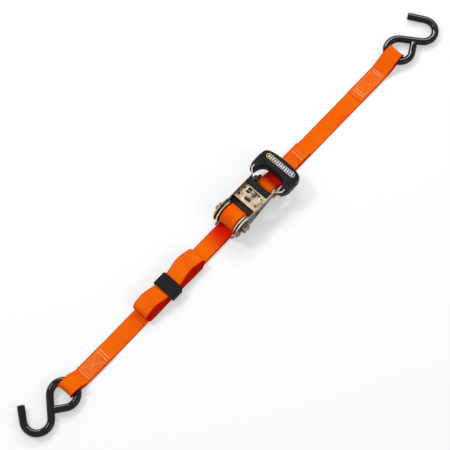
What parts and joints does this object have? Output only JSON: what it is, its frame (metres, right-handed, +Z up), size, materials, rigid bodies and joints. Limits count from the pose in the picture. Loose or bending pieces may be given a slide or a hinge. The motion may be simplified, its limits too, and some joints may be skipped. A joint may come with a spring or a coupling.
{
  "type": "ratchet tie down",
  "caption": "Ratchet tie down: orange webbing wound on a ratchet buckle with a wide black grip, folded tail in a keeper, and a vinyl-dipped S hook at each end.",
  "frame": {"origin": "on the ground, under the middle of the base's floor plate", "axes": "+X along the strap, from the long strap's hook to the short strap's hook; +Z up; +Y to the side that both hooks open to"},
  "size_m": [0.8186, 0.0679, 0.0365],
  "materials": {
    "webbing": "woven polyester",
    "gold_zinc": "yellow zinc plate",
    "silver_zinc": "clear zinc plate",
    "dark_steel": "dark oiled",
    "spring_steel": "drawn wire",
    "grip_black": "moulded, satin",
    "bar_black": "moulded, satin",
    "inlay_plate": "satin, pale gold",
    "keeper_black": "woven band",
    "vinyl_black": "dipped vinyl, gloss"
  },
  "bodies": {
    "frame": {"base_frame": "gold_zinc", "anchor_bolt": "dark_steel", "anchor_nut": "dark_steel", "anchor_sleeve": "silver_zinc", "lock_spring": "spring_steel", "main_strap": "webbing", "folded_tail": "webbing", "keeper_band": "keeper_black"},
    "lock_pawl": {"lock_pawl": "dark_steel"},
    "handle": {"handle_frame": "gold_zinc", "handle_grip": "grip_black", "grip_inlay": "inlay_plate", "grip_bolt": "dark_steel", "grip_nut": "dark_steel", "drive_spring": "spring_steel"},
    "drive_pawl": {"drive_pawl": "gold_zinc", "finger_bar": "bar_black"},
    "spool": {"spool_half_a": "silver_zinc", "spool_half_b": "silver_zinc", "ratchet_wheels": "dark_steel", "spool_washers": "silver_zinc", "split_pins": "spring_steel", "strap_winding": "webbing"},
    "short_strap": {"short_strap": "webbing"},
    "left_hook": {"left_strap_loop": "webbing", "left_hook_rod": "dark_steel", "left_hook_coat": "vinyl_black"},
    "right_hook": {"right_strap_loop": "webbing", "right_hook_rod": "dark_steel", "right_hook_coat": "vinyl_black"}
  },
  "joints": [
    {"name": "handle_swing", "type": "hinge", "parent": "frame", "child": "handle", "pos_m": [-0.0375, 0, 0.0185], "axis": [0, -1, 0], "range_deg": [0, 165]},
    {"name": "drive_pawl_slide", "type": "slide", "parent": "handle", "child": "drive_pawl", "axis": [1, 0, 0], "range_m": [0, 0.005], "stiffness_N_per_m": 400, "springref_m": -0.004, "deforming": ["drive_spring"]},
    {"name": "lock_pawl_slide", "type": "slide", "parent": "frame", "child": "lock_pawl", "axis": [0.866, 0, -0.5], "range_m": [0, 0.003], "stiffness_N_per_m": 400, "springref_m": -0.004, "deforming": ["lock_spring"]},
    {"name": "spool_spin", "type": "hinge", "parent": "frame", "child": "spool", "pos_m": [-0.0375, 0, 0.0185], "axis": [0, -1, 0], "continuous": true},
    {"name": "short_strap_swing", "type": "hinge", "parent": "frame", "child": "short_strap", "pos_m": [0.0285, 0, 0.01], "axis": [0, -1, 0], "range_deg": [-75, 10]},
    {"name": "left_hook_swing", "type": "hinge", "parent": "frame", "child": "left_hook", "pos_m": [-0.3335, 0, 0.0013], "axis": [0, 1, 0], "range_deg": [-75, 45]},
    {"name": "right_hook_swing", "type": "hinge", "parent": "short_strap", "child": "right_hook", "pos_m": [0.2705, 0, 0.0013], "axis": [0, -1, 0], "range_deg": [-75, 45]}
  ]
}
